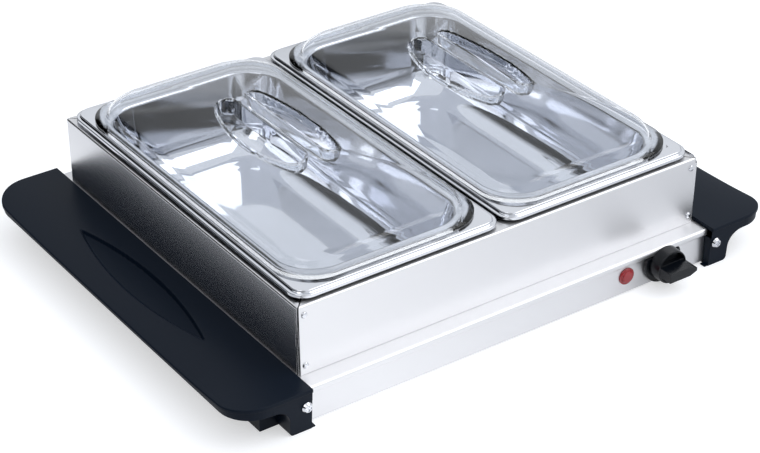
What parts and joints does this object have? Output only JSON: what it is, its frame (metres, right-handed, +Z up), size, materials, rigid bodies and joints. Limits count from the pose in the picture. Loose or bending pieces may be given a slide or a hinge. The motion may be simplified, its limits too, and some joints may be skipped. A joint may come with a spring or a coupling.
{
  "type": "electric buffet warmer",
  "caption": "Tabletop buffet warmer: a steel frame holds deep pans over a heated plate, with clear lift-off lids, broad black side handles, a front dial and a lamp.",
  "frame": {"origin": "on the table under the middle of the warmer, at the centre of its bounding box's lowest face", "axes": "+X to the right along the row of pans, +Y to the rear away from the dial, +Z up"},
  "size_m": [0.4588, 0.3725, 0.1233],
  "materials": {
    "brushed_steel": "brushed stainless steel sheet",
    "polished_steel": "polished stainless steel",
    "zinc_steel": "bright zinc-plated steel",
    "black_plastic": "satin black moulded plastic",
    "clear_plastic": "clear moulded plastic",
    "red_lens": "glossy translucent red plastic",
    "mica": "mica board with a flat element inside",
    "insulation": "ceramic-fibre pad",
    "inner_plastic": "off-white moulded plastic",
    "lead": "silicone sleeving over wire"
  },
  "bodies": {
    "base": {"bottom_cover": "zinc_steel", "clamp_plate_left": "zinc_steel", "clamp_plate_right": "zinc_steel", "clamp_stud_front_left": "zinc_steel", "clamp_stud_front_right": "zinc_steel", "clamp_stud_rear_left": "zinc_steel", "clamp_stud_rear_right": "zinc_steel", "cord_inlet": "black_plastic", "cover_screw_front_left": "zinc_steel", "cover_screw_front_right": "zinc_steel", "cover_screw_rear_left": "zinc_steel", "cover_screw_rear_right": "zinc_steel", "cover_spacer_front_left": "zinc_steel", "cover_spacer_front_right": "zinc_steel", "cover_spacer_rear_left": "zinc_steel", "cover_spacer_rear_right": "zinc_steel", "earth_stud": "zinc_steel", "front_apron": "brushed_steel", "fuse_clip": "zinc_steel", "handle_left": "black_plastic", "handle_right": "black_plastic", "handle_screw_front_left": "zinc_steel", "handle_screw_front_right": "zinc_steel", "handle_screw_rear_left": "zinc_steel", "handle_screw_rear_right": "zinc_steel", "heater_left": "mica", "heater_right": "mica", "insulation_left": "insulation", "insulation_right": "insulation", "knob_bezel": "black_plastic", "lamp_body": "inner_plastic", "lamp_clip": "zinc_steel", "lamp_lens": "red_lens", "lead_fuse": "lead", "lead_heater": "lead", "lead_lamp": "lead", "rear_apron": "brushed_steel", "terminal_block": "inner_plastic", "thermal_fuse": "zinc_steel", "thermostat_body": "inner_plastic", "warming_plate": "polished_steel"},
    "knob": {"control_knob": "black_plastic", "thermostat_shaft": "zinc_steel"},
    "frame": {"frame_cross_bar": "brushed_steel", "frame_front": "brushed_steel", "frame_left": "brushed_steel", "frame_rear": "brushed_steel", "frame_right": "brushed_steel", "rivet_front_left_high": "polished_steel", "rivet_front_left_low": "polished_steel", "rivet_front_right_high": "polished_steel", "rivet_front_right_low": "polished_steel", "rivet_rear_left_high": "polished_steel", "rivet_rear_left_low": "polished_steel", "rivet_rear_right_high": "polished_steel", "rivet_rear_right_low": "polished_steel"},
    "pan_left": {"pan_left": "polished_steel"},
    "pan_right": {"pan_right": "polished_steel"},
    "lid_left": {"lid_left": "clear_plastic"},
    "lid_right": {"lid_right": "clear_plastic"}
  },
  "joints": [
    {"name": "dial_turn", "type": "hinge", "parent": "base", "child": "knob", "pos_m": [0.1305, -0.1643, 0.0175], "axis": [0, 1, 0], "range_deg": [-225, 45]},
    {"name": "frame_lift", "type": "slide", "parent": "base", "child": "frame", "axis": [0, 0, 1], "range_m": [0, 0.15]},
    {"name": "pan_left_lift", "type": "slide", "parent": "frame", "child": "pan_left", "axis": [0, 0, 1], "range_m": [0, 0.12]},
    {"name": "pan_right_lift", "type": "slide", "parent": "frame", "child": "pan_right", "axis": [0, 0, 1], "range_m": [0, 0.12]},
    {"name": "lid_left_lift", "type": "slide", "parent": "pan_left", "child": "lid_left", "axis": [0, 0, 1], "range_m": [0, 0.12]},
    {"name": "lid_right_lift", "type": "slide", "parent": "pan_right", "child": "lid_right", "axis": [0, 0, 1], "range_m": [0, 0.12]}
  ]
}
